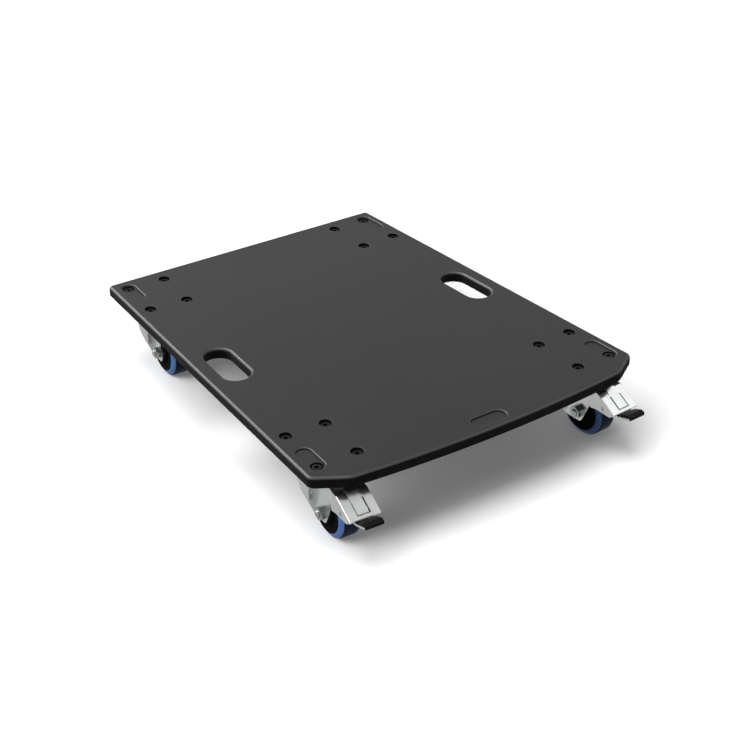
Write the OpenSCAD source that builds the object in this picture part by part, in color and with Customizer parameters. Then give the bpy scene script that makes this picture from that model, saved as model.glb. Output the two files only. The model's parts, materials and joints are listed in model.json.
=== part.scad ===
// Caster board: a coated plywood deck on four swivel casters, the front pair with pedal brakes.
// Millimetres, +Z up, floor at z = 0, front (bowed) edge towards -Y.
// Every caster trails towards the front, and stands parallel with the side of the deck beside it.

/* [Deck] */
// Width across the front ends of the straight sides
front_w = 546; // [500:1:640]
// Width of the back edge
back_w = 484; // [460:1:540]
// Fore-and-aft length of the straight sides
side_l = 619; // [580:1:700]
// Width taken off by each front corner cut
corner_w = 46; // [30:1:60]
// Fore-and-aft length of each front corner cut
corner_l = 28; // [20:1:40]
// How far the front edge bows out past its ends
bow = 12; // [6:1:18]
// Radius of the deck's corners seen from above
corner_r = 6; // [6:0.5:10]
// Thickness of the plywood
deck_t = 18; // [16:0.5:24]
// Radius of the rounded arris round the top and bottom faces
rim = 4.5; // [1:0.5:5]

/* [Hand slots] */
// Length of the opening
slot_l = 96; // [80:1:120]
// Width of the opening
slot_w = 41; // [32:1:48]
// Distance from the side of the deck to the middle of the slot
slot_inset = 45; // [40:1:52]
// Width of the eased rim round the opening
slot_rim = 4.5; // [1:0.5:5]

/* [Foot pockets] */
// Length of each pocket at its floor
pocket_l = 55; // [45:1:60]
// Width of each pocket at its floor
pocket_w = 22; // [18:0.5:24]
// Depth of each pocket
pocket_depth = 2.5; // [1.5:0.1:3]
// Width of the eased rim round each pocket
pocket_rim = 2; // [1:0.5:2]
// Distance from the front edge to the middle of the front pocket
pocket_inset = 22.5; // [21:0.5:30]

/* [Caster places] */
// Distance from the side of the deck to the swivel axis
side_inset = 54; // [50:1:70]
// Distance from the back edge to the back swivel axes
back_inset = 67; // [60:1:90]
// Fore-and-aft distance between the swivel axes
wheelbase = 493.5; // [470:0.5:540]

/* [Screws] */
// Screw spacing across each caster plate
screw_dx = 60; // [56:1:64]
// Screw spacing along each caster plate
screw_dy = 80; // [78:1:86]
// Diameter of the screw shanks
screw_d = 8; // [6:1:9]
// Diameter of the screw heads
head_d = 13; // [12:0.5:15]
// Height of the screw heads
head_h = 8; // [5:0.5:9]
// Depth of the heads' top faces below the deck
head_sunk = 3.5; // [3:0.5:4]
// Diameter of the counterbores
counterbore_d = 18; // [16:0.5:19]
// Distance across the flats of the hex sockets
socket_af = 6; // [5:0.5:7]
// Depth of the hex sockets
socket_depth = 4; // [3:0.5:5]
// Distance across the flats of the nuts under the plates
nut_af = 13; // [12:0.5:15]
// Height of the nuts under the plates
nut_h = 6.5; // [5:0.5:7]

/* [Caster plate and swivel bearing] */
// Height of the casters from floor to plate top
caster_h = 100; // [98:1:115]
// Width of the plate
plate_w = 85; // [80:1:92]
// Length of the plate
plate_l = 105; // [102:1:112]
// Radius of the plate's corners
plate_r = 8; // [4:1:12]
// Thickness of the plate
plate_t = 3; // [2.5:0.5:4]
// Gap between plate and fork crown
crown_gap = 9.5; // [9:0.5:11]
// Radius of the ring that the balls run on
ball_ring_r = 24; // [22:0.5:25]
// Diameter of the balls
ball_d = 6; // [5:0.5:6.5]
// Number of balls
ball_count = 20; // [12:1:22]
// Width of the race rings
race_w = 9; // [8:0.5:10]
// Gap left open between the race rings
race_gap = 1.4; // [1:0.1:2]
// Diameter of the kingpin
kingpin_d = 12; // [10:0.5:14]
// Diameter of the kingpin's heads
kingpin_head_d = 22; // [18:0.5:24]

/* [Fork] */
// Thickness of the pressed steel
fork_t = 3; // [2.5:0.25:3.5]
// Outer radius of the crown
crown_r = 33; // [32.5:0.5:35]
// Outer width over the legs
leg_w = 42; // [41.5:0.5:44]
// Distance from the swivel axis forward to where the crown narrows to the legs
neck_y = 14; // [12:0.5:16]
// Trail, from the swivel axis to the axle
trail = 38; // [36:0.5:40]
// Lowest point of the legs above the floor
leg_z = 25; // [22:0.5:28]
// Outer width over the brake hood
hood_w = 47; // [46:0.5:50]
// Distance from the swivel axis to the hood's knee
knee_y = 74; // [70:0.5:76]
// Distance from the swivel axis to the hood's front edge
hood_y = 109; // [106:0.5:112]
// Height of the hood's front edge
hood_z = 66.5; // [64:0.5:68]
// Width of the sprung tongue in the hood
tongue_w = 16.6; // [14:0.2:18]
// Width of the slot round the tongue
tongue_gap = 1.2; // [1:0.1:1.4]
// How far the sprung tongue stands proud of the hood
tongue_rise = 1.2; // [0.6:0.1:1.5]
// Height of the rib that runs down to the tongue
rib_h = 1.5; // [1:0.1:2]

/* [Wheel] */
// Wheel diameter
wheel_d = 80; // [76:1:80]
// Width of the hub and rim
rim_w = 34; // [32:0.5:34.5]
// Width of the flat tread
tread_w = 22; // [18:0.5:26]
// Radius where tyre and rim meet
rim_r = 31; // [29:0.5:32]
// Radius of the recess in each side of the rim
rim_recess_r = 24; // [20:0.5:25]
// Depth of that recess
rim_recess = 3; // [2:0.5:4]
// Radius of the hub boss inside the recess
hub_r = 16.5; // [15.5:0.5:18]
// Outer diameter of the bearings
bearing_d = 26; // [24:1:28]
// Width of the bearings
bearing_w = 8; // [6:0.5:9]
// Thickness of the caps over the bearings
cap_t = 1; // [0.8:0.1:1.2]

/* [Axle] */
// Diameter of the axle bolt
axle_d = 10; // [8:0.5:10]
// Outer diameter of the sleeve on the bolt
sleeve_d = 13; // [12.5:0.5:15]
// Distance across the flats of the bolt head and nut
axle_af = 17; // [16:0.5:19]
// Height of the bolt head
axle_head_h = 6.4; // [5:0.1:7]
// Height of the axle nut
axle_nut_h = 8; // [6:0.5:9]
// Length of bolt standing out past the nut
axle_end = 2.5; // [1:0.5:4]

/* [Brake] */
// Distance from the swivel axis to the brake pin
pin_y = 86; // [84:0.5:88]
// Height of the brake pin
pin_z = 67; // [66:0.5:68]
// Diameter of the brake pin
pin_d = 6; // [5:0.5:7]
// Diameter of the lever's pivot barrel
barrel_d = 11; // [10:0.5:12]
// Width of the brake lever
lever_w = 28; // [24:0.5:30]
// Thickness of the lever's plate
lever_t = 3; // [2:0.25:3]
// Distance from the swivel axis to the pedal's tip
pedal_y = 131; // [128:0.5:134]
// Height of the lever's underside at the tip
pedal_z = 65.5; // [63:0.5:67]
// Thickness of the pedal pad
pad_t = 5; // [4:0.5:6]
// How far the pad wraps over the front edge of the lever
pad_lip = 2; // [1.5:0.25:3]
// Gap between the shoe and the tyre with the brake off
shoe_gap = 3.6; // [3.4:0.1:4.2]

/* [Fits] */
// Radial clearance of a part that turns on a pin
running_gap = 0.05; // [0.02:0.01:0.1]
// Clearance between pieces that are bolted or pressed together
seat_gap = 0.05; // [0.02:0.01:0.1]
// Clearance between faces that move past each other
side_gap = 0.3; // [0.2:0.05:0.4]
// Radial clearance of the screws in the deck and plate
screw_gap = 0.5; // [0.2:0.1:1]

/* [Hidden] */
CORNERS = ["front_left", "front_right", "back_left", "back_right"];
BRAKED = ["front_left", "front_right"];
PIECES = ["plate", "kingpin", "balls", "lower_race", "fork", "axle_bolt", "axle_nut", "axle_sleeve",
          "rim", "tyre", "bearings", "bearing_caps"];
BRAKE_PIECES = ["brake_pin", "brake_lever", "pedal"];

$fn = 64;
over = 1;
steps = 6;
bow_steps = 16;
rim_steps = 4;

// Deck: heights, then fore-and-aft places, with the whole part centred on the origin
deck_z = caster_h;
deck_top = deck_z + deck_t;
lean = atan((front_w - back_w) / 2 / side_l);
tip_reach = pedal_y * cos(lean) + lever_w / 2 * sin(lean);
nose_reach = side_l + corner_l + bow - back_inset - wheelbase;
back_y = (back_inset + wheelbase + max(tip_reach, nose_reach)) / 2;
side_end_y = back_y - side_l;
cut_end_y = side_end_y - corner_l;
nose_w = front_w - 2 * corner_w;
bow_r = (nose_w * nose_w / 4 + bow * bow) / 2 / bow;
bow_centre_y = cut_end_y - bow + bow_r;
bow_angle = asin(nose_w / 2 / bow_r);
back_caster_y = back_y - back_inset;
front_caster_y = back_caster_y - wheelbase;
mid_y = (back_caster_y + front_caster_y) / 2;

// Swivel bearing: heights
plate_z = caster_h - plate_t;
crown_top = plate_z - crown_gap;
crown_under = crown_top - fork_t;
ball_z = (plate_z + crown_top) / 2;
groove_r = ball_d / 2 + running_gap;
kingpin_head_h = 3;

// Fork: plan half widths, and heights down the back edge of the legs
axle_z = wheel_d / 2;
leg_x = leg_w / 2;
hood_x = hood_w / 2;
crown_y = 26;
hood_slope = atan((crown_top - hood_z) / (hood_y - knee_y));
skirt_z = [81, 65, 57, 50];
skirt_y = [crown_r + over, 6.5, -5, -neck_y + fork_t];
flare_z = [54, 47, 27];
apex = [-59.5, 58.5];
wing_low = [-98, 60];
wing_y = 104;
leg_front_x = 44;

// Wheel and axle: distances from the wheel's middle
hub_x = rim_w / 2;
leg_in_x = leg_x - fork_t;
recess_x = hub_x - rim_recess;
bearing_in_x = hub_x - cap_t - bearing_w;
crown_h = 2;
crown_x = 5;

// Brake
pin_len = hood_w;
tongue_top = 13;
tongue_len = 22;
pedal_back_y = hood_y + 3.5;
lever_bend = [-107, 58];
lever_slope = atan((pedal_z - lever_bend[1]) / (pedal_y + lever_bend[0]));
lever_end = [pad_lip - pedal_y, pedal_z - pad_lip * tan(lever_slope)];

function side_of(corner) = (corner == "front_left" || corner == "back_left") ? -1 : 1;
function caster_y(corner) =
    (corner == "front_left" || corner == "front_right") ? front_caster_y : back_caster_y;
function half_width(y) = back_w / 2 + (back_y - y) * tan(lean);
function unit(v) = v / norm(v);

// Points of a polygon with each corner rounded to the radius given for it
function rounded(pts, radii) = [
    for (i = [0 : len(pts) - 1])
        let (p = pts[i],
             u = unit(pts[(i + len(pts) - 1) % len(pts)] - p),
             v = unit(pts[(i + 1) % len(pts)] - p),
             half = acos(max(-1, min(1, u * v))) / 2,
             r = radii[i],
             c = p + unit(u + v) * r / sin(half),
             from = c - p - u * (r / tan(half)),
             turn = (u[0] * v[1] - u[1] * v[0]) > 0 ? -1 : 1)
            each (r == 0 ? [p] : [
                for (s = [0 : steps])
                    let (a = turn * (s / steps) * (180 - 2 * half))
                        c - [from[0] * cos(a) - from[1] * sin(a), from[0] * sin(a) + from[1] * cos(a)]
            ])
];

// Puts its children in the frame of one caster: swivel axis on Z, trailing towards -Y
module at_caster(corner) {
    side = side_of(corner);
    y = caster_y(corner);
    translate([side * (half_width(y) - side_inset), y, 0]) rotate([0, 0, side * lean]) children();
}

// Turns a shape drawn round Z so that it lies round the axle
module on_axle() {
    translate([0, -trail, axle_z]) rotate([0, 90, 0]) children();
}

// Draws a side view, in Y and Z, that runs from one x to another
module side_view(x1, x2) {
    translate([x1, 0, 0]) rotate([90, 0, 90]) linear_extrude(height = x2 - x1) children();
}

module tube(r_out, r_in, z1, z2) {
    difference() {
        translate([0, 0, z1]) cylinder(r = r_out, h = z2 - z1);
        translate([0, 0, z1 - over]) cylinder(r = r_in, h = z2 - z1 + 2 * over);
    }
}

module hexagon(across, z1, z2) {
    translate([0, 0, z1]) cylinder(d = across / cos(30), h = z2 - z1, $fn = 6);
}

module at_screws() {
    for (sx = [-1, 1], sy = [-1, 1])
        translate([sx * screw_dx / 2, sy * screw_dy / 2, 0]) children();
}

// Stadium along Y with a rim that widens to the top: the cutter for slots and pockets
module stadium_cutter(length, width, z1, z2, rim_size) {
    half = (length - width) / 2;
    for (s = [-1, 1])
        translate([0, s * half, 0]) {
            translate([0, 0, z1]) cylinder(d = width, h = z2 - z1);
            translate([0, 0, z2 - rim_size])
                cylinder(d1 = width, d2 = width + 2 * (rim_size + over), h = rim_size + over);
        }
    translate([0, half, 0]) rotate([90, 0, 0]) linear_extrude(height = 2 * half)
        polygon([[-width / 2, z1], [width / 2, z1], [width / 2, z2 - rim_size],
                 [width / 2 + rim_size + over, z2 + over], [-width / 2 - rim_size - over, z2 + over],
                 [-width / 2, z2 - rim_size]]);
}

// Deck seen from above: rounded corners, and the front edge on one long arc
module deck_outline() {
    arc = [for (i = [0 : bow_steps])
        let (a = bow_angle * (2 * i / bow_steps - 1)) [bow_r * sin(a), bow_centre_y - bow_r * cos(a)]];
    sides = [[front_w / 2, side_end_y], [back_w / 2, back_y], [-back_w / 2, back_y],
             [-front_w / 2, side_end_y]];
    turns = [for (i = [0 : bow_steps]) i == 0 || i == bow_steps ? corner_r : 0];
    polygon(rounded(concat(arc, sides), concat(turns, [for (side = sides) corner_r])));
}

// Solid deck with its top and bottom arrises rounded
module deck_blank() {
    hull() for (i = [0 : rim_steps])
        let (a = 90 * i / rim_steps, flat = rim * (1 - sin(a)))
            translate([0, 0, deck_z + flat]) linear_extrude(height = deck_t - 2 * flat)
                offset(delta = -rim * (1 - cos(a))) deck_outline();
}

// Stands its children at the middle of a hand slot, parallel with the side beside it
module at_slot(side) {
    translate([side * (half_width(mid_y) - slot_inset), mid_y, 0]) rotate([0, 0, side * lean]) children();
}

module deck() {
    head_z = deck_top - head_sunk - head_h;
    color([0.07, 0.07, 0.075]) difference() {
        deck_blank();
        for (side = [-1, 1])
            at_slot(side) {
                stadium_cutter(slot_l, slot_w, deck_z - over, deck_top, slot_rim);
                translate([0, 0, deck_z]) mirror([0, 0, 1])
                    stadium_cutter(slot_l, slot_w, -rim - over, 0, slot_rim);
            }
        for (corner = CORNERS)
            at_caster(corner) {
                at_screws() {
                    translate([0, 0, deck_z - over]) cylinder(d = screw_d + 2 * screw_gap, h = deck_t);
                    translate([0, 0, head_z]) cylinder(d = counterbore_d, h = deck_t);
                }
                outer = caster_y(corner) == front_caster_y ? -1 : 1;
                translate([side_of(corner) * screw_dx / 2,
                           outer * (screw_dy / 2 - (pocket_l - pocket_w) / 2), 0])
                    stadium_cutter(pocket_l, pocket_w, deck_top - pocket_depth, deck_top, pocket_rim);
            }
        translate([0, cut_end_y - bow + pocket_inset, 0]) rotate([0, 0, 90])
            stadium_cutter(pocket_l, pocket_w, deck_top - pocket_depth, deck_top, pocket_rim);
    }
}

// Cap screws through deck and plate, heads down in the counterbores
module caster_screws() {
    head_z = deck_top - head_sunk - head_h;
    tip_z = plate_z - nut_h - 0.5;
    color([0.1, 0.1, 0.1]) for (corner = CORNERS)
        at_caster(corner) at_screws() difference() {
            union() {
                translate([0, 0, tip_z]) cylinder(d = screw_d, h = head_z - tip_z + over);
                translate([0, 0, head_z]) cylinder(d = head_d, h = head_h);
            }
            hexagon(socket_af, head_z + head_h - socket_depth, head_z + head_h + over);
        }
}

module caster_nuts() {
    color([0.75, 0.75, 0.77]) for (corner = CORNERS)
        at_caster(corner) at_screws() difference() {
            hexagon(nut_af, plate_z - nut_h, plate_z);
            translate([0, 0, plate_z - nut_h - over])
                cylinder(d = screw_d + 2 * seat_gap, h = nut_h + 2 * over);
        }
}

// Half of the ball race: a ring with a round groove in the face that looks at the balls
module race_ring(z1, z2) {
    difference() {
        tube(ball_ring_r + race_w / 2, ball_ring_r - race_w / 2, z1, z2);
        translate([0, 0, ball_z]) rotate_extrude() translate([ball_ring_r, 0]) circle(r = groove_r, $fn = 32);
    }
}

// Top plate of a caster, with the upper ball race pressed on its underside
module plate() {
    color([0.72, 0.73, 0.75]) difference() {
        union() {
            translate([0, 0, plate_z]) linear_extrude(height = plate_t)
                polygon(rounded([[plate_w / 2, plate_l / 2], [-plate_w / 2, plate_l / 2],
                                 [-plate_w / 2, -plate_l / 2], [plate_w / 2, -plate_l / 2]],
                                [plate_r, plate_r, plate_r, plate_r]));
            race_ring(ball_z + race_gap / 2, plate_z + over / 2);
        }
        at_screws() translate([0, 0, plate_z - over])
            cylinder(d = screw_d + 2 * screw_gap, h = plate_t + 2 * over);
        translate([0, 0, plate_z - over]) cylinder(d = kingpin_d + 2 * seat_gap, h = plate_t + 2 * over);
        translate([0, 0, plate_z + plate_t / 2])
            cylinder(d = kingpin_head_d - plate_t + 2 * seat_gap, h = plate_t / 2 + over);
    }
}

// Riveted kingpin: upper head flush in the plate, lower head under the crown
module kingpin() {
    head_top = crown_under - side_gap;
    color([0.66, 0.67, 0.69]) {
        translate([0, 0, head_top - over / 2]) cylinder(d = kingpin_d, h = caster_h - head_top + over / 2);
        translate([0, 0, plate_z + plate_t / 2]) cylinder(d = kingpin_head_d - plate_t, h = plate_t / 2);
        translate([0, 0, head_top - kingpin_head_h]) cylinder(d = kingpin_head_d, h = kingpin_head_h);
    }
}

module balls() {
    color([0.85, 0.85, 0.87]) for (i = [0 : ball_count - 1])
        rotate([0, 0, i * 360 / ball_count]) translate([ball_ring_r, 0, ball_z]) sphere(d = ball_d);
}

// Plan of the fork: a round crown that narrows to two legs, which the hood may widen again
module fork_plan(inset, hooded) {
    leg = leg_x - inset;
    hood = hood_x - inset;
    front = -hood_y - over;
    legs = [[-leg, over - neck_y + inset], [-leg, front], [leg, front], [leg, over - neck_y + inset]];
    flared = [[-leg, over - neck_y + inset], [-leg, apex[0] + 5], [-hood, apex[0] - 5], [-hood, front],
              [hood, front], [hood, apex[0] - 5], [leg, apex[0] + 5], [leg, over - neck_y + inset]];
    intersection() {
        circle(r = crown_r - inset);
        translate([-crown_r - over, -neck_y + inset]) square([2 * (crown_r + over), 2 * crown_r]);
    }
    polygon(hooded ? flared : legs);
}

// Front view of the fork: the crown's skirt tapers in to the legs
module fork_front_view() {
    polygon([[crown_r + over, crown_top], [-crown_r - over, crown_top], [-crown_r - over, flare_z[0]],
             [-crown_r + 3, flare_z[1]], [-leg_x, flare_z[2]], [-leg_x - 0.01, leg_z - over],
             [leg_x + 0.01, leg_z - over], [leg_x, flare_z[2]], [crown_r - 3, flare_z[1]],
             [crown_r + over, flare_z[0]]]);
}

// Side view of a leg with the skirt behind it and, on a braked fork, the wing in front
module fork_side_view(hooded) {
    back_edge = [[skirt_y[0], crown_top], [skirt_y[0], skirt_z[0]], [skirt_y[1], skirt_z[1]],
                 [skirt_y[2], skirt_z[2]], [skirt_y[3], skirt_z[3]], [skirt_y[3], flare_z[2]],
                 [-18, leg_z]];
    plain_front = [[-leg_front_x - 1, leg_z], [-leg_front_x - 5, leg_z + 14], [-leg_front_x, leg_z + 26],
                   [-leg_front_x + 1, leg_z + 36], [-crown_y - fork_t / 2, crown_under],
                   [-crown_r - over, crown_under], [-crown_r - over, crown_top]];
    wing_front = [[-leg_front_x, leg_z], apex, [apex[0] - 15, apex[1] + 2.5], wing_low,
                  [-wing_y, wing_low[1] - 1], [-wing_y, hood_z - 1], [-hood_y + 1.7, hood_z - fork_t],
                  [-hood_y, hood_z], [-knee_y, crown_top]];
    polygon(hooded
        ? rounded(concat(back_edge, wing_front), [0, 0, 0, 0, 0, 0, 4, 6, 4, 0, 0, 5, 0, 0, 0, 0])
        : rounded(concat(back_edge, plain_front), [0, 0, 0, 0, 0, 0, 4, 7, 6, 0, 6, 0, 0, 0]));
}

// Side view of the space inside the fork, which stops one sheet's thickness under crown and hood
module fork_inside_view(hooded) {
    drop = fork_t / cos(hood_slope);
    low = leg_z - 2 * over;
    under = hooded
        ? [[-knee_y + fork_t * tan(hood_slope / 2), crown_under],
           [-hood_y - over, hood_z - drop - over * tan(hood_slope)]]
        : [[-hood_y - over, crown_under]];
    polygon(concat([[-hood_y - over, low], [crown_r + over, low], [crown_r + over, crown_under]], under));
}

// Places children on the hood's slope, their Z square to it and their origin in the tongue's upper edge
module on_slope() {
    translate([0, -knee_y, crown_top]) rotate([hood_slope, 0, 0]) translate([0, -tongue_top, 0]) children();
}

// Slot on three sides of the sprung tongue, cut square to the hood and wider on the right
module tongue_slot() {
    on_slope() translate([0, 0, -2 * fork_t]) {
        translate([-tongue_w / 2 - tongue_gap, -tongue_len - tongue_gap, 0])
            cube([tongue_gap, tongue_len + tongue_gap, 4 * fork_t]);
        translate([tongue_w / 2, -tongue_len - tongue_gap, 0])
            cube([2 * tongue_gap, tongue_len + tongue_gap, 4 * fork_t]);
        translate([-tongue_w / 2 - tongue_gap, -tongue_len - tongue_gap, 0])
            cube([tongue_w + 3 * tongue_gap, tongue_gap, 4 * fork_t]);
    }
}

// The tongue stands a little proud of the hood
module tongue_face() {
    on_slope() translate([-tongue_w / 2 + 0.3, 0.3 - tongue_len, -1])
        cube([tongue_w - 0.6, tongue_len - 0.6, 1 + tongue_rise]);
}

// Raised rib on the crown that runs down, steeper than the hood, and dies out at the tongue
module hood_rib() {
    run = tongue_top + 5;
    foot = [-knee_y - run * cos(hood_slope) + 0.6 * sin(hood_slope),
            crown_top - run * sin(hood_slope) - 0.6 * cos(hood_slope)];
    side_view(-tongue_w / 2 + 0.3, tongue_w / 2 - 0.3)
        polygon([[-knee_y + 22, crown_top - 1], [-knee_y + 20, crown_top + rib_h],
                 [-knee_y - 0.6, crown_top + rib_h], foot, [-knee_y, crown_top - 1]]);
}

// Pressed fork in one sheet thickness, with its skirt behind and, on a braked one, its hood in front
module fork(hooded) {
    low = leg_z - over;
    color([0.78, 0.79, 0.8]) difference() {
        union() {
            intersection() {
                translate([0, 0, low]) linear_extrude(height = crown_top - low) fork_plan(0, hooded);
                side_view(-crown_r - over, crown_r + over) fork_side_view(hooded);
                translate([0, crown_r + over, 0]) rotate([90, 0, 0])
                    linear_extrude(height = crown_r + hood_y + 3 * over) fork_front_view();
            }
            if (hooded) {
                hood_rib();
                tongue_face();
            }
        }
        intersection() {
            translate([0, 0, low - over]) linear_extrude(height = crown_top - low) fork_plan(fork_t, hooded);
            side_view(-crown_r - over, crown_r + over) fork_inside_view(hooded);
        }
        if (!hooded)
            translate([0, 0, crown_under - over]) difference() {
                translate([-crown_r, -2 * crown_r, 0]) cube([2 * crown_r, 2 * crown_r - neck_y, 2 * fork_t]);
                translate([0, 0, -over]) cylinder(r = crown_r, h = 3 * fork_t);
            }
        translate([0, 0, crown_under - over])
            cylinder(d = kingpin_d + 2 * running_gap, h = fork_t + 2 * over);
        on_axle() translate([0, 0, -leg_w]) cylinder(d = axle_d + 2 * seat_gap, h = 2 * leg_w);
        for (s = [-1, 1]) translate([s * (crown_r - 7), -neck_y + 5.9, low - over]) difference() {
            translate([s < 0 ? -8 : 0, -6, 0]) cube([8, 4.3, 2 * crown_top]);
            cylinder(r = 6, h = 2 * crown_top);
        }
        if (hooded) {
            tongue_slot();
            translate([-hood_w, -pin_y, pin_z]) rotate([0, 90, 0])
                cylinder(d = pin_d + 2 * seat_gap, h = 2 * hood_w);
        }
    }
}

// Lower ball race, pressed on the fork's crown
module lower_race() {
    color([0.75, 0.76, 0.78]) race_ring(crown_top, ball_z - race_gap / 2);
}

// Axle bolt, its head on the right and its threaded end out past the nut on the left
module axle_bolt() {
    end_x = leg_x + axle_nut_h + axle_end;
    color([0.7, 0.71, 0.73]) on_axle() {
        translate([0, 0, -end_x + 1]) cylinder(d = axle_d, h = end_x + leg_x);
        translate([0, 0, -end_x]) cylinder(d1 = axle_d - 2, d2 = axle_d, h = 1);
        hexagon(axle_af, leg_x, leg_x + axle_head_h);
    }
}

module axle_nut() {
    color([0.7, 0.71, 0.73]) on_axle() difference() {
        hexagon(axle_af, -leg_x - axle_nut_h, -leg_x);
        translate([0, 0, -leg_w]) cylinder(d = axle_d + 2 * seat_gap, h = leg_w);
    }
}

// Sleeve that the nut clamps between the legs, and that the bearings turn on
module axle_sleeve() {
    color([0.6, 0.61, 0.63]) on_axle()
        tube(sleeve_d / 2, axle_d / 2 + seat_gap, -leg_in_x + seat_gap, leg_in_x - seat_gap);
}

// Half of the rim's cross-section, as radius and distance from the middle
module rim() {
    color([0.05, 0.05, 0.055]) on_axle() rotate_extrude()
        polygon([[sleeve_d / 2 + 1, -bearing_in_x], [bearing_d / 2, -bearing_in_x],
                 [bearing_d / 2, -hub_x + cap_t], [hub_r, -hub_x + cap_t], [hub_r, -recess_x],
                 [rim_recess_r, -recess_x], [rim_recess_r, -hub_x], [rim_r, -hub_x],
                 [rim_r + crown_h, -crown_x], [rim_r + crown_h, crown_x], [rim_r, hub_x],
                 [rim_recess_r, hub_x],
                 [rim_recess_r, recess_x], [hub_r, recess_x], [hub_r, hub_x - cap_t],
                 [bearing_d / 2, hub_x - cap_t], [bearing_d / 2, bearing_in_x],
                 [sleeve_d / 2 + 1, bearing_in_x]]);
}

// Tyre with a flat tread and sloping shoulders, seated on the rim's crown
module tyre() {
    foot_x = hub_x - 0.5;
    foot_r = rim_r + crown_h * (hub_x - foot_x) / (hub_x - crown_x) + seat_gap;
    tread_x = tread_w / 2;
    side = rounded([[axle_z, tread_x - 2], [axle_z, tread_x + 1], [foot_r, foot_x]], [0, 3, 0]);
    half = concat(side, [[rim_r + crown_h + seat_gap, crown_x]]);
    other = [for (i = [len(half) - 1 : -1 : 0]) [half[i][0], -half[i][1]]];
    color([0.1, 0.22, 0.5]) on_axle() rotate_extrude($fn = 96) polygon(concat(half, other));
}

module bearings() {
    color([0.8, 0.8, 0.82]) on_axle() for (s = [-1, 1])
        tube(bearing_d / 2 - seat_gap, sleeve_d / 2 + running_gap,
             s > 0 ? bearing_in_x + seat_gap : -bearing_in_x - bearing_w,
             s > 0 ? bearing_in_x + bearing_w : -bearing_in_x - seat_gap);
}

// Caps pressed over the bearings, flush with the hub and clear of the legs
module bearing_caps() {
    color([0.04, 0.04, 0.045]) on_axle() for (s = [-1, 1])
        tube(hub_r - 0.5, sleeve_d / 2 + side_gap,
             s > 0 ? hub_x - cap_t + seat_gap : -hub_x,
             s > 0 ? hub_x : -hub_x + cap_t - seat_gap);
}

module at_brake_pin() {
    translate([0, -pin_y, pin_z]) rotate([0, 90, 0]) children();
}

module brake_pin() {
    color([0.7, 0.71, 0.73]) at_brake_pin() translate([0, 0, -pin_len / 2]) cylinder(d = pin_d, h = pin_len);
}

// Lever under the hood: pedal plate, pivot barrel, and a shoe that swings in to the tyre
module brake_lever() {
    barrel_x = hood_x - fork_t - side_gap;
    shoe_r = axle_z + shoe_gap;
    shoe_a = 14;
    shoe_span = 8;
    arm_y = -pin_y - 5;
    face_low = [-trail - shoe_r * cos(shoe_a), axle_z + shoe_r * sin(shoe_a)];
    face_high = [-trail - shoe_r * cos(shoe_a + shoe_span), axle_z + shoe_r * sin(shoe_a + shoe_span)];
    color([0.7, 0.71, 0.73]) difference() {
        union() {
            side_view(-lever_w / 2, lever_w / 2)
                polygon([lever_end, lever_bend, [arm_y, lever_bend[1] + 1],
                         [-pin_y, pin_z - 4], [-pin_y, pin_z + 3], [arm_y, pin_z - 1],
                         lever_bend + [0, lever_t], lever_end + [0, lever_t]]);
            side_view(-lever_w / 2 + 5, lever_w / 2 - 5)
                polygon([[-pin_y - 3, pin_z], [-pin_y - 4, lever_bend[1]], face_low, face_high,
                         [-pin_y + 4, pin_z]]);
            at_brake_pin() translate([0, 0, -barrel_x]) cylinder(d = barrel_d, h = 2 * barrel_x);
        }
        at_brake_pin() translate([0, 0, -hood_w]) cylinder(d = pin_d + 2 * running_gap, h = 2 * hood_w);
    }
}

// Moulded pad on the pedal end of the lever, with a lip over its front edge
module pedal() {
    along = [cos(lever_slope), -sin(lever_slope)];
    up = [sin(lever_slope), cos(lever_slope)];
    seat = lever_end + [0, lever_t];
    back = seat + along * (pedal_y - pad_lip - pedal_back_y) / cos(lever_slope);
    color([0.05, 0.05, 0.05]) side_view(-lever_w / 2, lever_w / 2)
        polygon(rounded([lever_end, seat, back, back + up * (pad_t - 1.5), seat + along * 3 + up * pad_t,
                         [-pedal_y, seat[1] + 2], [-pedal_y, lever_end[1]]], [0, 0, 0, 1, 2, 1, 0.6]));
}

module caster_piece(corner, piece) {
    hooded = caster_y(corner) == front_caster_y;
    at_caster(corner) {
        if (piece == "plate") plate();
        if (piece == "kingpin") kingpin();
        if (piece == "balls") balls();
        if (piece == "lower_race") lower_race();
        if (piece == "fork") fork(hooded);
        if (piece == "axle_bolt") axle_bolt();
        if (piece == "axle_nut") axle_nut();
        if (piece == "axle_sleeve") axle_sleeve();
        if (piece == "rim") rim();
        if (piece == "tyre") tyre();
        if (piece == "bearings") bearings();
        if (piece == "bearing_caps") bearing_caps();
        if (piece == "brake_pin") brake_pin();
        if (piece == "brake_lever") brake_lever();
        if (piece == "pedal") pedal();
    }
}

deck();
caster_screws();
caster_nuts();
for (corner = CORNERS, piece = PIECES)
    caster_piece(corner, piece);
for (corner = BRAKED, piece = BRAKE_PIECES)
    caster_piece(corner, piece);
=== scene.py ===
"""Caster board: a dark coated deck on four blue-wheeled swivel casters, on a pale studio floor."""
import json
import math

import bpy
from mathutils import Matrix, Vector


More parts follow.
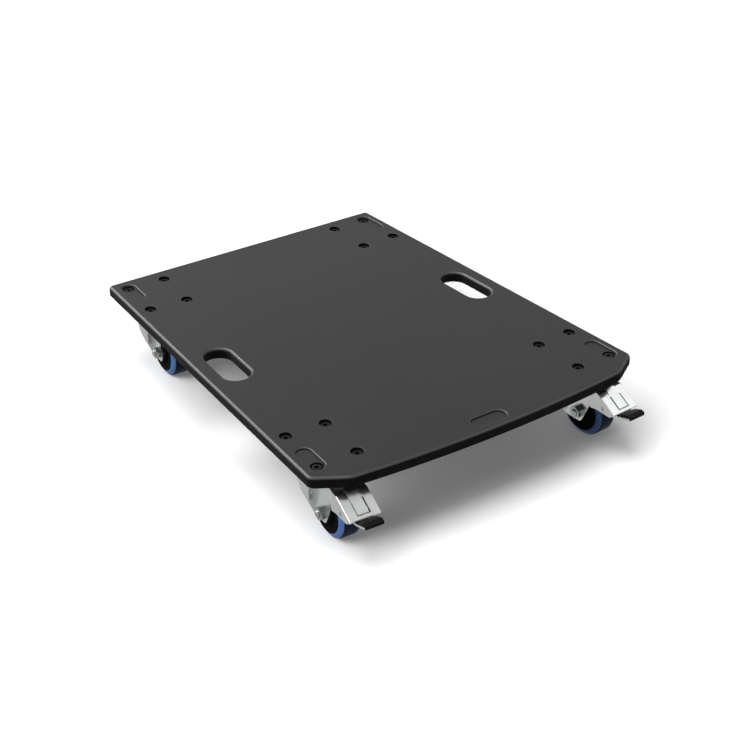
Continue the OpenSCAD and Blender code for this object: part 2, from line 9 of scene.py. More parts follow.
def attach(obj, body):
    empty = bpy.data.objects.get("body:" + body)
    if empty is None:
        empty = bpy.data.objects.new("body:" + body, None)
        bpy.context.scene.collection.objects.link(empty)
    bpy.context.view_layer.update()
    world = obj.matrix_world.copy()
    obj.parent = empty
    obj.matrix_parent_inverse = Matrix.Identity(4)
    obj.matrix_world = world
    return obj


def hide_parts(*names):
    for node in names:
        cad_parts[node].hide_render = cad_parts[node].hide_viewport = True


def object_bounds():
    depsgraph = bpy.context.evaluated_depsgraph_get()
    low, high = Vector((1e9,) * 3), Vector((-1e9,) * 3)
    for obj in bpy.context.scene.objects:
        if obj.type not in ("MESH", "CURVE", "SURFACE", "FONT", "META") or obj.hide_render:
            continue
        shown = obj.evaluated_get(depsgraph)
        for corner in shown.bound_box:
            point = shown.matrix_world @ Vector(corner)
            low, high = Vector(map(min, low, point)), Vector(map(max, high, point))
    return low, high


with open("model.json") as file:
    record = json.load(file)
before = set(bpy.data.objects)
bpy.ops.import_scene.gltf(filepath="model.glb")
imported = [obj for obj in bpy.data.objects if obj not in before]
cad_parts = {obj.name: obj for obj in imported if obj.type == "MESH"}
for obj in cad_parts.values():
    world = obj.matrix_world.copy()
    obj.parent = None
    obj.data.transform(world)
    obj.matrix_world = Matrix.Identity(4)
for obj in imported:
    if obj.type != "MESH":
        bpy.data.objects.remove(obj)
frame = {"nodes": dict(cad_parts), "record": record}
cad_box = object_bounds()

MM = 0.001
CORNERS = ("front_left", "front_right", "back_left", "back_right")
BRAKED = CORNERS[:2]

# Camera: where the photograph was taken from, in metres and degrees
CAMERA_PLACE = (-1.1062, -1.6080, 1.1945)
CAMERA_AZIMUTH = -34.98
CAMERA_ELEVATION = 30.53
LENS_MM = 73.19
SENSOR_MM = 36
FARTHEST = 50

# Light levels: for the lamps and the floor, the radiance of a white surface
SKY_SOFT = 0.08
SKY_SHINE = 0.75
SKY_SEEN = 1
FLOOR_SOFT = 0.25
FLOOR_SHINE = 0.62
FLOOR_SEEN = 0.9
SHADOW_LIFT = 0.13
KEY_LEVEL = 0.68
SIDE_LEVEL = 0.85
RIM_LEVEL = 1.7
BOX_LEVEL = 0.65

# Directions towards the suns with their spread in degrees, and the softbox's place, target and side in metres
KEY_FROM, KEY_SPREAD = (-0.14, 0.14, 0.97), 44
SIDE_FROM, SIDE_SPREAD = (-0.74, 0.14, 0.62), 50
RIM_FROM, RIM_SPREAD = (-0.27, 0.70, 0.66), 44
BOX_PLACE, BOX_TARGET, BOX_SIZE = (1.45, -0.6, 1.5), (0.22, -0.31, 0.08), 1.1
FLOOR_SIZE = 40

# Deck coat by how far a place faces up, from an upright edge at 0 to the top at 1
# Painted light: the lighter coat between 0.6 and 0.88 is a painted highlight on the rounded rims; the near
# black from 0 to 0.25 is painted shade on the walls of holes and slots, and it darkens the outer edges too
COAT_TONE_AND_PAINTED_LIGHT = [(0, 0.002), (0.25, 0.008), (0.6, 0.065), (0.88, 0.055), (1, 0.0145)]
COAT_ROUGHNESS = [(0, 0.95), (0.3, 0.95), (0.6, 0.4), (1, 0.4)]
COAT_BLUE, COAT_SHINE = 1.04, 0.2
COAT_CLOUDED, COAT_PATCHED = (0.92, 1.06), (0.95, 1.05)

# Noise scales per metre: broad clouds, patches, and the fine grain of each finish
COAT_CLOUDS, COAT_PATCHES, COAT_GRAIN = 7, 60, 1400
ZINC_CLOUDS, ZINC_PATCHES, ZINC_GRAIN = 55, 240, 1500
MOULD_CLOUDS, MOULD_PATCHES, MOULD_GRAIN = 90, 200, 700
CLOUD_DETAIL, PATCH_DETAIL, GRAIN_DETAIL = 4, 3, 2
NOISE_LOW, NOISE_HIGH = 0.3, 0.7

# Strength of each grain, its height in metres, and how much the roughness falls and rises in patches
COAT_BUMP, ZINC_BUMP, MOULD_BUMP = 0.15, 0.08, 0.12
GRAIN_HEIGHT = 0.0001
ZINC_DARKEST = 0.9
ZINC_SMOOTHER, ZINC_ROUGHER = 0.04, 0.06
MOULD_SMOOTHER, MOULD_ROUGHER = 0.05, 0.06

# Deck, in millimetres as in the part's source
FRONT_W, BACK_W, SIDE_L = 546, 484, 619
CORNER_W, CORNER_L, BOW = 46, 28, 12
DECK_LOW, DECK_TOP = 100, 118
CORNER_R, ARRIS_R, ROUND_STEPS = 6, 4.5, 5
BACK_INSET, WHEELBASE, SIDE_INSET = 67, 493.5, 54
SLOT_L, SLOT_W, SLOT_INSET, SLOT_RIM = 96, 41, 45, 4.5
POCKET_L, POCKET_W, POCKET_DEPTH, POCKET_RIM, POCKET_INSET = 55, 22, 2.5, 2, 22.5
SCREW_DX, SCREW_DY = 60, 80
HOLE_R, COUNTERBORE_R, COUNTERBORE_Z, HOLE_RIM, HOLE_FLARE = 4.5, 9, 106.5, 0.6, 1.6
BOW_STEPS, SLOT_STEPS, HOLE_STEPS, RIM_TURN = 48, 64, 40, 15

# Millimetres by which cutters pass the deck, their rims stand above it, and near points count as one
OVER, LIFT, NEAR, WELD, CAD_WELD = 1, 0.02, 0.1, 0.002, 0.003
POLE = 0.0001

# How far below the deck's top a point still counts as on it, and upward shares of a face's normal
TOP_DEPTH, RIM_SLOPE, LEVEL_SLOPE = 0.01, 0.05, 0.999

LEAN = math.atan((FRONT_W - BACK_W) / 2 / SIDE_L)
BACK_Y = cad_box[1][1] / MM
SIDE_END_Y = BACK_Y - SIDE_L
CUT_END_Y = SIDE_END_Y - CORNER_L
NOSE_W = FRONT_W - 2 * CORNER_W
BACK_CASTER_Y = BACK_Y - BACK_INSET
FRONT_CASTER_Y = BACK_CASTER_Y - WHEELBASE
MIDDLE_Y = (BACK_CASTER_Y + FRONT_CASTER_Y) / 2
NOSE_POCKET_Y = CUT_END_Y - BOW + POCKET_INSET

# Wheel, in millimetres, with half profiles as radius and distance from the wheel's middle plane
TRAIL, AXLE_Z, TREAD_X = 38, 40, 12
TYRE_HALF = [(40, 8.5), (39.9, 10), (39.5, 11.2), (38.7, 12.1), (35, 14.7), (32.2, 16.3),
             (31.05, 16.5), (33.05, 5)]
RIM_HALF = [(33, 5), (31, 16.6), (30.5, 17), (24.6, 17), (24, 16.4), (23, 14.6), (22, 14), (17.9, 14),
            (17, 14.4), (16.5, 15.6), (16.1, 16), (13, 16), (13, 8), (7.5, 8)]
TYRE_STEPS, RIM_STEPS = 128, 96
TYRE_SMOOTH, RIM_SMOOTH = 50, 30

# Fork, in millimetres
CROWN_TOP, KNEE_Y, HOOD_Y, HOOD_Z, LEG_X = 87.5, 74, 109, 66.5, 21
HOOD_START_Y, FOLD_R, FOLD_STEPS, FOLD_NEAR = -30, 1.4, 3, 0.2

# Millimetres by which edges sharper than an angle in degrees are eased
EASED = {"caster_screws": 0.5, "caster_nuts": 0.5, "plate": 0.4, "fork": 0.4, "axle_bolt": 0.4,
         "axle_nut": 0.6, "brake_lever": 0.5, "pedal": 0.6}
EASE_STEPS, EASE_ANGLE, EASE_SMOOTH, DECK_SMOOTH, FLAT_ANGLE = 2, 24, 50, 50, 2


def half_width(y):
    return BACK_W / 2 + (BACK_Y - y) * math.tan(LEAN)


def side_of(corner):
    return -1 if "left" in corner else 1


def caster_place(corner):
    """Matrix from one caster's own frame, in metres, to the board's."""
    side = side_of(corner)
    y = FRONT_CASTER_Y if corner in BRAKED else BACK_CASTER_Y
    shift = Matrix.Translation((side * (half_width(y) - SIDE_INSET) * MM, y * MM, 0))
    return shift @ Matrix.Rotation(side * LEAN, 4, "Z")


# Modelling

def deselect():
    bpy.ops.object.select_all(action="DESELECT")


def make_active(piece):
    deselect()
    piece.select_set(True)
    bpy.context.view_layer.objects.active = piece


def in_edit(piece, steps):
    """Runs steps in edit mode with the whole piece selected."""
    make_active(piece)
    bpy.ops.object.mode_set(mode="EDIT")
    bpy.ops.mesh.select_all(action="SELECT")
    steps()
    bpy.ops.object.mode_set(mode="OBJECT")


def select_edges(piece, wanted):
    """Selects the edges whose two ends, in millimetres, satisfy wanted."""
    make_active(piece)
    bpy.ops.object.mode_set(mode="EDIT")
    bpy.ops.mesh.select_mode(type="EDGE")
    bpy.ops.mesh.select_all(action="DESELECT")
    bpy.ops.object.mode_set(mode="OBJECT")
    points = piece.data.vertices
    for edge in piece.data.edges:
        a, b = (points[i].co / MM for i in edge.vertices)
        edge.select = bool(wanted(a, b))
    bpy.ops.object.mode_set(mode="EDIT")


def bevel_selected(width, segments):
    bpy.ops.mesh.bevel(offset=width * MM, segments=segments, affect="EDGES", clamp_overlap=True)
    bpy.ops.object.mode_set(mode="OBJECT")


def apply_modifiers(piece):
    make_active(piece)
    for modifier in list(piece.modifiers):
        bpy.ops.object.modifier_apply(modifier=modifier.name)


def settle(piece):
    """Puts the piece's place, turn and size into its mesh."""
    make_active(piece)
    bpy.ops.object.transform_apply(location=True, rotation=True, scale=True)


def smooth(piece, angle):
    make_active(piece)
    bpy.ops.object.shade_smooth_by_angle(angle=math.radians(angle))


def soften(piece, width):
    """Rounds every sharp edge."""
    bevel = piece.modifiers.new("soften", "BEVEL")
    bevel.width = width * MM
    bevel.segments = EASE_STEPS
    bevel.limit_method = "ANGLE"
    bevel.angle_limit = math.radians(EASE_ANGLE)
    bevel.use_clamp_overlap = True
    apply_modifiers(piece)


def even_normals(piece):
    """Keeps wide flat faces flat to the eye beside their rounded edges."""
    modifier = piece.modifiers.new("even", "WEIGHTED_NORMAL")
    modifier.keep_sharp = True
    apply_modifiers(piece)


def level_normals(piece, height):
    """Points the normals straight up where rounded rims run out into the level top, which then shades flat.

    Each corner's upward share is kept for the coat's material.
    """
    mesh = piece.data
    normals = [tuple(corner.vector) for corner in mesh.corner_normals]
    for face in mesh.polygons:
        for loop in face.loop_indices:
            place = mesh.vertices[mesh.loops[loop].vertex_index].co
            on_top = place.z > height - TOP_DEPTH * MM and face.normal.z > RIM_SLOPE
            if on_top or face.normal.z > LEVEL_SLOPE:
                normals[loop] = (0, 0, 1)
    mesh.normals_split_custom_set(normals)
    slope = mesh.attributes.new("slope", "FLOAT", "CORNER")
    slope.data.foreach_set("value", [normal[2] for normal in normals])


def ring_of_points(name, points):
    """A closed wire through the points, in millimetres."""
    deselect()
    bpy.ops.mesh.primitive_circle_add(vertices=len(points), radius=1, fill_type="NOTHING")
    piece = bpy.context.object
    piece.name = name
    for vertex, point in zip(piece.data.vertices, points):
        vertex.co = Vector(point) * MM
    return piece


def turned(name, profile, steps):
    """A solid turned round Z from a profile of radius and height, in millimetres."""
    piece = ring_of_points(name, [(r, 0, z) for r, z in profile])
    in_edit(piece, lambda: (
        bpy.ops.mesh.spin(steps=steps, angle=2 * math.pi, center=(0, 0, 0), axis=(0, 0, 1)),
        bpy.ops.mesh.select_all(action="SELECT"),
        bpy.ops.mesh.remove_doubles(threshold=WELD * MM),
        bpy.ops.mesh.delete_loose(),
        bpy.ops.mesh.select_all(action="SELECT"),
        bpy.ops.mesh.normals_make_consistent(inside=False)))
    return piece


def stretch(piece, half):
    """Draws a turned solid out along Y, so that a round plan becomes one with straight sides."""
    for vertex in piece.data.vertices:
        vertex.co.y += math.copysign(half * MM, vertex.co.y)


def cut(piece, cutter):
    boolean = piece.modifiers.new("cut", "BOOLEAN")
    boolean.operation = "DIFFERENCE"
    boolean.solver = "MANIFOLD"
    boolean.object = cutter
    apply_modifiers(piece)
    bpy.data.objects.remove(cutter)


def copy_at(piece, name, place):
    """A copy with its own mesh, set at a place."""
    copy = bpy.data.objects.new(name, piece.data.copy())
    bpy.context.scene.collection.objects.link(copy)
    copy.matrix_world = place
    settle(copy)
    return copy


def dress(piece, material):
    piece.data.materials.clear()
    piece.data.materials.append(MATERIALS[material])


# Materials

def new_material(name):
    material = bpy.data.materials.new(name)
    material.use_nodes = True
    nodes = material.node_tree.nodes
    return material, nodes, material.node_tree.links, nodes["Principled BSDF"]


def noise(nodes, links, scale, detail):
    """Noise on the piece's own coordinates, in metres."""
    place = nodes.new("ShaderNodeTexCoord")
    texture = nodes.new("ShaderNodeTexNoise")
    texture.inputs["Scale"].default_value = scale
    texture.inputs["Detail"].default_value = detail
    links.new(place.outputs["Object"], texture.inputs["Vector"])
    return texture.outputs["Fac"]


def grey(level):
    return (level, level, level)


def mottle(nodes, links, scale, detail, low, high):
    """A colour that drifts between low and high."""
    colours = nodes.new("ShaderNodeValToRGB")
    for element, position, colour in zip(colours.color_ramp.elements, (NOISE_LOW, NOISE_HIGH), (low, high)):
        element.position = position
        element.color = (*colour, 1)
    links.new(noise(nodes, links, scale, detail), colours.inputs["Fac"])
    return colours.outputs["Color"]


def add_grain(nodes, links, shader, scale, strength):
    bump = nodes.new("ShaderNodeBump")
    bump.inputs["Strength"].default_value = strength
    bump.inputs["Distance"].default_value = GRAIN_HEIGHT
    links.new(noise(nodes, links, scale, GRAIN_DETAIL), bump.inputs["Height"])
    links.new(bump.outputs["Normal"], shader.inputs["Normal"])


def by_slope(nodes, links, levels, blue=1):
    """A near grey by how far a place on the deck faces up; blue is its blue against its red."""
    slope = nodes.new("ShaderNodeAttribute")
    slope.attribute_name = "slope"
    shades = nodes.new("ShaderNodeValToRGB")
    for place, level in levels[1:-1]:
        shades.color_ramp.elements.new(place)
    for element, (place, level) in zip(shades.color_ramp.elements, levels):
        element.position = place
        element.color = (level, level, level * blue, 1)
    links.new(slope.outputs["Fac"], shades.inputs["Fac"])
    return shades.outputs["Color"]


def product(nodes, links, first, second):
    times = nodes.new("ShaderNodeVectorMath")
    times.operation = "MULTIPLY"
    links.new(first, times.inputs[0])
    links.new(second, times.inputs[1])
    return times.outputs["Vector"]


def deck_coating():
    """A dull charcoal coat with a painted highlight along the rims, nearly black on the edges, and nearly
    black as painted shade in the holes.
    """
    material, nodes, links, shader = new_material("deck_coating")
    clouds = mottle(nodes, links, COAT_CLOUDS, CLOUD_DETAIL, *map(grey, COAT_CLOUDED))
    patches = mottle(nodes, links, COAT_PATCHES, PATCH_DETAIL, *map(grey, COAT_PATCHED))
    # Painted light by slope: a painted highlight on the rims and painted shade in the holes
    shades = by_slope(nodes, links, COAT_TONE_AND_PAINTED_LIGHT, COAT_BLUE)
    roughness = by_slope(nodes, links, COAT_ROUGHNESS)
    links.new(product(nodes, links, shades, clouds), shader.inputs["Base Color"])
    links.new(product(nodes, links, roughness, patches), shader.inputs["Roughness"])
    shader.inputs["Specular IOR Level"].default_value = COAT_SHINE
    add_grain(nodes, links, shader, COAT_GRAIN, COAT_BUMP)
    return material


def zinc(name, tint, rough, metallic):
    """Plated or polished steel, a little darker and rougher in patches."""
    material, nodes, links, shader = new_material(name)
    dark = tuple(value * ZINC_DARKEST for value in tint)
    colour = mottle(nodes, links, ZINC_CLOUDS, CLOUD_DETAIL, dark, tint)
    roughness = mottle(nodes, links, ZINC_PATCHES, PATCH_DETAIL, grey(rough - ZINC_SMOOTHER),
                       grey(rough + ZINC_ROUGHER))
    links.new(colour, shader.inputs["Base Color"])
    links.new(roughness, shader.inputs["Roughness"])
    shader.inputs["Metallic"].default_value = metallic
    add_grain(nodes, links, shader, ZINC_GRAIN, ZINC_BUMP)
    return material


def moulded(name, low, high, rough, shine):
    """Moulded rubber or plastic, or blackened steel."""
    material, nodes, links, shader = new_material(name)
    colour = mottle(nodes, links, MOULD_CLOUDS, PATCH_DETAIL, low, high)
    roughness = mottle(nodes, links, MOULD_PATCHES, PATCH_DETAIL, grey(rough - MOULD_SMOOTHER),
                       grey(rough + MOULD_ROUGHER))
    links.new(colour, shader.inputs["Base Color"])
    links.new(roughness, shader.inputs["Roughness"])
    shader.inputs["Specular IOR Level"].default_value = shine
    add_grain(nodes, links, shader, MOULD_GRAIN, MOULD_BUMP)
    return material


# Each finish with its colour or its darkest and lightest colour, roughness, and metal or specular level
MATERIALS = {
    "deck_coating": deck_coating(),
    "zinc": zinc("zinc", (0.70, 0.71, 0.71), 0.2, 0.95),
    "zinc_bolt": zinc("zinc_bolt", (0.42, 0.43, 0.44), 0.3, 1.0),
    "ball_steel": zinc("ball_steel", (0.70, 0.70, 0.72), 0.14, 1.0),
    "black_steel": moulded("black_steel", grey(0.005), grey(0.008), 0.38, 0.12),
    "hub_black": moulded("hub_black", grey(0.003), grey(0.005), 0.75, 0.02),
    "blue_tyre": moulded("blue_tyre", (0.095, 0.19, 0.44), (0.11, 0.21, 0.48), 0.45, 0.15),
    # The tread's much darker blue is painted shade on the same blue rubber as the lit shoulders
    "tyre_tread_painted_shade": moulded("tyre_tread_painted_shade", (0.010, 0.018, 0.045), (0.014, 0.025, 0.06), 0.6, 0.08),
    "pedal_black": moulded("pedal_black", grey(0.004), grey(0.006), 0.4, 0.06),
}


def dress_cad_nodes():
    """Each CAD node takes the material of its slot in the record."""
    for part in frame["record"]["subparts"]:
        mesh = frame["nodes"][part["node"]].data
        mesh.materials.clear()
        mesh.materials.append(MATERIALS[part["material_slot"]])


# Deck

def deck_outline():
    """Outline from the nose's left end along the bow, then round by the right side."""
    bow_r = (NOSE_W ** 2 / 4 + BOW ** 2) / 2 / BOW
    half_angle = math.asin(NOSE_W / 2 / bow_r)
    bow = []
    for i in range(BOW_STEPS + 1):
        angle = half_angle * (2 * i / BOW_STEPS - 1)
        bow.append((bow_r * math.sin(angle), CUT_END_Y - BOW + bow_r * (1 - math.cos(angle)), DECK_LOW))
    right = [(FRONT_W / 2, SIDE_END_Y), (BACK_W / 2, BACK_Y)]
    corners = right + [(-x, y) for x, y in reversed(right)]
    return bow + [(x, y, DECK_LOW) for x, y in corners]


def recess_cutter(name, length, width, low, rim, both_sides=False):
    """Cutter for a slot or pocket with straight sides, round ends and a rounded rim."""
    radius = width / 2
    high = DECK_TOP + LIFT
    rim_curve = [(radius + rim * (1 - math.cos(angle)), high - rim * (1 - math.sin(angle)))
                 for angle in map(math.radians, range(0, 91, RIM_TURN))]
    foot = [(POLE, low), (radius, low)]
    if both_sides:
        foot = [(POLE, low - OVER), (radius + rim, low - OVER)]
        foot += [(r, low + DECK_TOP - z) for r, z in reversed(rim_curve)]
    head = [(radius + rim, DECK_TOP + OVER), (POLE, DECK_TOP + OVER)]
    cutter = turned(name, foot + rim_curve + head, SLOT_STEPS)
    stretch(cutter, (length - width) / 2)
    return cutter


def hole_cutter():
    """Cutter for one screw's hole and counterbore, with an eased rim."""
    return turned("screw_cutter", [
        (POLE, DECK_LOW - OVER), (HOLE_R, DECK_LOW - OVER), (HOLE_R, COUNTERBORE_Z),
        (COUNTERBORE_R, COUNTERBORE_Z), (COUNTERBORE_R, DECK_TOP - HOLE_RIM),
        (COUNTERBORE_R + HOLE_FLARE, DECK_TOP + OVER), (POLE, DECK_TOP + OVER)], HOLE_STEPS)


def deck_blank():
    """The deck with rounded edges, before anything is cut into it."""
    outline = deck_outline()
    deck = ring_of_points("deck_board", outline)
    thick = (DECK_TOP - DECK_LOW) * MM
    in_edit(deck, lambda: (
        bpy.ops.mesh.edge_face_add(),
        bpy.ops.mesh.extrude_region_move(TRANSFORM_OT_translate={"value": (0, 0, thick)}),
        bpy.ops.mesh.select_all(action="SELECT"),
        bpy.ops.mesh.normals_make_consistent(inside=False)))
    turning = [(x, y) for x, y, z in outline[-4:]]
    turning += [(-NOSE_W / 2, CUT_END_Y), (NOSE_W / 2, CUT_END_Y)]

    def upright_corner(a, b):
        return abs(a.z - b.z) > NEAR and any(math.dist((a.x, a.y), corner) < NEAR for corner in turning)

    select_edges(deck, upright_corner)
    bevel_selected(CORNER_R, ROUND_STEPS)
    select_edges(deck, lambda a, b: abs(a.z - b.z) < NEAR)
    bevel_selected(ARRIS_R, ROUND_STEPS)
    return deck


def seam_deck(deck):
    """Parts the deck's flat faces crosswise, through the places where the cuts will meet them."""
    rows = [caster_y + y * SCREW_DY / 2 for caster_y in (FRONT_CASTER_Y, BACK_CASTER_Y) for y in (-1, 1)]
    for y in rows + [MIDDLE_Y, NOSE_POCKET_Y]:
        in_edit(deck, lambda: bpy.ops.mesh.bisect(plane_co=(0, y * MM, 0), plane_no=(0, 1, 0)))


def cut_slots(deck):
    for side in (-1, 1):
        slot = recess_cutter("slot_cutter", SLOT_L, SLOT_W, DECK_LOW, SLOT_RIM, both_sides=True)
        slot.location = (side * (half_width(MIDDLE_Y) - SLOT_INSET) * MM, MIDDLE_Y * MM, 0)
        slot.rotation_euler.z = side * LEAN
        settle(slot)
        cut(deck, slot)


def cut_pockets_and_holes(deck):
    pocket = recess_cutter("pocket_cutter", POCKET_L, POCKET_W, DECK_TOP - POCKET_DEPTH, POCKET_RIM)
    hole = hole_cutter()
    nose = Matrix.Translation((0, NOSE_POCKET_Y * MM, 0)) @ Matrix.Rotation(math.pi / 2, 4, "Z")
    cut(deck, copy_at(pocket, "nose_pocket", nose))
    for corner in CORNERS:
        caster = caster_place(corner)
        outer = -1 if corner in BRAKED else 1
        pocket_y = outer * (SCREW_DY / 2 - (POCKET_L - POCKET_W) / 2)
        shift = Vector((side_of(corner) * SCREW_DX / 2, pocket_y, 0))
        cut(deck, copy_at(pocket, "corner_pocket", caster @ Matrix.Translation(shift * MM)))
        for x in (-1, 1):
            for y in (-1, 1):
                shift = Vector((x * SCREW_DX / 2, y * SCREW_DY / 2, 0))
                cut(deck, copy_at(hole, "hole_cutter", caster @ Matrix.Translation(shift * MM)))
    bpy.data.objects.remove(pocket)
    bpy.data.objects.remove(hole)


def build_deck():
    deck = deck_blank()
    seam_deck(deck)
    cut_slots(deck)
    cut_pockets_and_holes(deck)
    smooth(deck, DECK_SMOOTH)
    even_normals(deck)
    level_normals(deck, DECK_TOP * MM)
    dress(deck, "deck_coating")
    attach(deck, "board")
    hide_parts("deck")


# Wheels

def on_axle(piece):
    """Turns a piece made round Z so that it lies round the axle."""
    axle = Matrix.Translation(Vector((0, -TRAIL, AXLE_Z)) * MM)
    piece.matrix_world = axle @ Matrix.Rotation(math.pi / 2, 4, "Y")
    settle(piece)


def mirrored_profile(half):
    """A profile closed by its mirror image across the wheel's middle plane."""
    return half + [(r, -z) for r, z in reversed(half)]


def build_wheels():
    tyre = turned("tyre", mirrored_profile(TYRE_HALF), TYRE_STEPS)
    rim = turned("rim", mirrored_profile(RIM_HALF), RIM_STEPS)
    on_axle(tyre)
    on_axle(rim)
    # Faces of the tread take the darker blue, painted shade beside the lit shoulders
    tread = [int(abs(face.center.x) < TREAD_X * MM) for face in tyre.data.polygons]
    for piece, material, angle in ((tyre, "blue_tyre", TYRE_SMOOTH), (rim, "hub_black", RIM_SMOOTH)):
        for corner in CORNERS:
            copy = copy_at(piece, f"{corner}_{piece.name}_turned", caster_place(corner))
            smooth(copy, angle)
            dress(copy, material)
            if piece is tyre:
                copy.data.materials.append(MATERIALS["tyre_tread_painted_shade"])
                copy.data.polygons.foreach_set("material_index", tread)
            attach(copy, f"{corner}_wheel")
            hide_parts(f"{corner}_{piece.name}")
    bpy.data.objects.remove(tyre)
    bpy.data.objects.remove(rim)


# Pressed and turned steel, worked up from the CAD solids

def cad_copy(node, name):
    """A merged, clean-faced copy of a CAD node's mesh."""
    copy = bpy.data.objects.new(name, frame["nodes"][node].data.copy())
    bpy.context.scene.collection.objects.link(copy)
    flat = math.radians(FLAT_ANGLE)
    in_edit(copy, lambda: (
        bpy.ops.mesh.remove_doubles(threshold=CAD_WELD * MM),
        bpy.ops.mesh.dissolve_limited(angle_limit=flat, use_dissolve_boundaries=False)))
    return copy


def eased_copy(node, body, material, kind, folds=None):
    """Replaces a CAD node by a copy with eased edges, and with rounded bends where folds tells them."""
    copy = cad_copy(node, f"{node}_eased")
    if folds:
        select_edges(copy, folds)
        bevel_selected(FOLD_R, FOLD_STEPS)
    soften(copy, EASED[kind])
    smooth(copy, EASE_SMOOTH)
    even_normals(copy)
    dress(copy, material)
    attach(copy, body)
    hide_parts(node)


def hood_folds(corner):
    """Tells whether an edge is a bend of one fork's hood, from its ends in the board's millimetres."""
    to_caster = caster_place(corner).inverted()

    def on_hood(point):
        """Whether a point lies on the hood's top, at its sides, and at its knee."""
        place = (to_caster @ (point * MM)) / MM
        fall = CROWN_TOP - (-KNEE_Y - place.y) * (CROWN_TOP - HOOD_Z) / (HOOD_Y - KNEE_Y)
        on_top = place.y < HOOD_START_Y and abs(place.z - min(CROWN_TOP, fall)) < FOLD_NEAR
        return on_top, abs(place.x) > LEG_X - FOLD_NEAR, abs(place.y + KNEE_Y) < FOLD_NEAR

    def is_fold(a, b):
        (top_a, side_a, knee_a), (top_b, side_b, knee_b) = on_hood(a), on_hood(b)
        return top_a and top_b and ((side_a and side_b) or (knee_a and knee_b))

    return is_fold


def build_casters():
    eased_copy("caster_screws", "board", "black_steel", "caster_screws")
    eased_copy("caster_nuts", "board", "zinc_bolt", "caster_nuts")
    for corner in CORNERS:
        swivel, braked = f"{corner}_swivel", corner in BRAKED
        eased_copy(f"{corner}_fork", swivel, "zinc", "fork", hood_folds(corner) if braked else None)
        eased_copy(f"{corner}_axle_bolt", swivel, "zinc_bolt", "axle_bolt")
        eased_copy(f"{corner}_axle_nut", swivel, "zinc_bolt", "axle_nut")
        eased_copy(f"{corner}_plate", "board", "zinc", "plate")
        if braked:
            eased_copy(f"{corner}_brake_lever", f"{corner}_brake", "zinc", "brake_lever")
            eased_copy(f"{corner}_pedal", f"{corner}_brake", "pedal_black", "pedal")


# Studio

def build_camera():
    data = bpy.data.cameras.new("camera")
    data.lens = LENS_MM
    data.sensor_width = SENSOR_MM
    data.clip_end = FARTHEST
    camera = bpy.data.objects.new("camera", data)
    bpy.context.scene.collection.objects.link(camera)
    camera.location = CAMERA_PLACE
    camera.rotation_euler = (math.radians(90 - CAMERA_ELEVATION), 0, math.radians(CAMERA_AZIMUTH))
    bpy.context.scene.camera = camera


def ray_mix(nodes, links, rays, kinds, first, second):
    """Second shader for the given kinds of ray, first for all others."""
    value = rays.outputs[kinds[0]]
    for kind in kinds[1:]:
        either = nodes.new("ShaderNodeMath")
        either.operation = "MAXIMUM"
        links.new(value, either.inputs[0])
        links.new(rays.outputs[kind], either.inputs[1])
        value = either.outputs["Value"]
    mix = nodes.new("ShaderNodeMixShader")
    links.new(value, mix.inputs["Fac"])
    links.new(first, mix.inputs[1])
    links.new(second, mix.inputs[2])
    return mix.outputs["Shader"]


def white(nodes, kind, socket, level):
    """A white shader of one kind; its level goes into its strength, or else into its colour."""
    node = nodes.new(kind)
    colour = level if socket == "Color" else 1
    node.inputs["Color"].default_value = (colour, colour, colour, 1)
    if socket != "Color":
        node.inputs[socket].default_value = level
    return node.outputs[0]


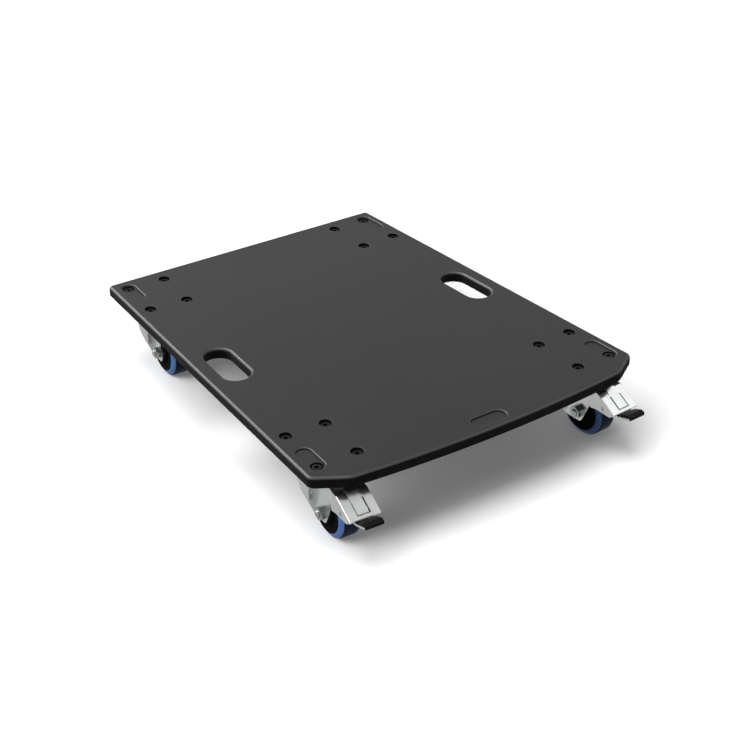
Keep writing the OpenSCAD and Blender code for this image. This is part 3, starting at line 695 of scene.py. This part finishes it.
def build_floor():
    """A white floor that shows its shadow to the camera and stays dim in what it throws back."""
    deselect()
    bpy.ops.mesh.primitive_plane_add(size=FLOOR_SIZE, location=(0, 0, 0))
    floor = bpy.context.object
    floor.name = "floor"
    material, nodes, links, shader = new_material("floor_white")
    rays = nodes.new("ShaderNodeLightPath")
    soft = white(nodes, "ShaderNodeBsdfDiffuse", "Color", FLOOR_SOFT)
    lift = nodes.new("ShaderNodeAddShader")
    links.new(white(nodes, "ShaderNodeBsdfDiffuse", "Color", FLOOR_SEEN), lift.inputs[0])
    links.new(white(nodes, "ShaderNodeEmission", "Strength", SHADOW_LIFT), lift.inputs[1])
    seen = lift.outputs["Shader"]
    shine = white(nodes, "ShaderNodeEmission", "Strength", FLOOR_SHINE)
    surface = ray_mix(nodes, links, rays, ["Is Glossy Ray"], soft, shine)
    surface = ray_mix(nodes, links, rays, ["Is Camera Ray", "Is Transmission Ray"], surface, seen)
    links.new(surface, nodes["Material Output"].inputs["Surface"])
    nodes.remove(shader)
    floor.data.materials.append(material)


def build_sky():
    world = bpy.data.worlds.new("studio")
    bpy.context.scene.world = world
    world.use_nodes = True
    nodes, links = world.node_tree.nodes, world.node_tree.links
    rays = nodes.new("ShaderNodeLightPath")
    soft = white(nodes, "ShaderNodeBackground", "Strength", SKY_SOFT)
    shine = white(nodes, "ShaderNodeBackground", "Strength", SKY_SHINE)
    seen = white(nodes, "ShaderNodeBackground", "Strength", SKY_SEEN)
    surface = ray_mix(nodes, links, rays, ["Is Glossy Ray"], soft, shine)
    surface = ray_mix(nodes, links, rays, ["Is Camera Ray", "Is Transmission Ray"], surface, seen)
    links.new(surface, nodes["World Output"].inputs["Surface"])
    nodes.remove(nodes["Background"])


def build_sun(name, towards, level, angle):
    """A distant wide lamp; level is the radiance of a white surface that faces it."""
    data = bpy.data.lights.new(name, "SUN")
    data.energy = level * math.pi
    data.angle = math.radians(angle)
    lamp = bpy.data.objects.new(name, data)
    bpy.context.scene.collection.objects.link(lamp)
    lamp.rotation_euler = Vector(towards).to_track_quat("Z", "Y").to_euler()
    return lamp


def build_box(name, place, target, size, level):
    """A square softbox; level is its own radiance."""
    data = bpy.data.lights.new(name, "AREA")
    data.shape = "SQUARE"
    data.size = size
    data.energy = level * math.pi * size ** 2
    lamp = bpy.data.objects.new(name, data)
    bpy.context.scene.collection.objects.link(lamp)
    lamp.location = place
    lamp.rotation_euler = (Vector(place) - Vector(target)).to_track_quat("Z", "Y").to_euler()
    return lamp


dress_cad_nodes()
build_deck()
build_wheels()
build_casters()
build_camera()
build_floor()
build_sky()
build_sun("key", KEY_FROM, KEY_LEVEL, KEY_SPREAD)
build_sun("side", SIDE_FROM, SIDE_LEVEL, SIDE_SPREAD).visible_glossy = False
build_sun("rim", RIM_FROM, RIM_LEVEL, RIM_SPREAD).visible_diffuse = False
build_box("right_box", BOX_PLACE, BOX_TARGET, BOX_SIZE, BOX_LEVEL).visible_diffuse = False

bpy.context.scene.view_settings.view_transform = "Standard"
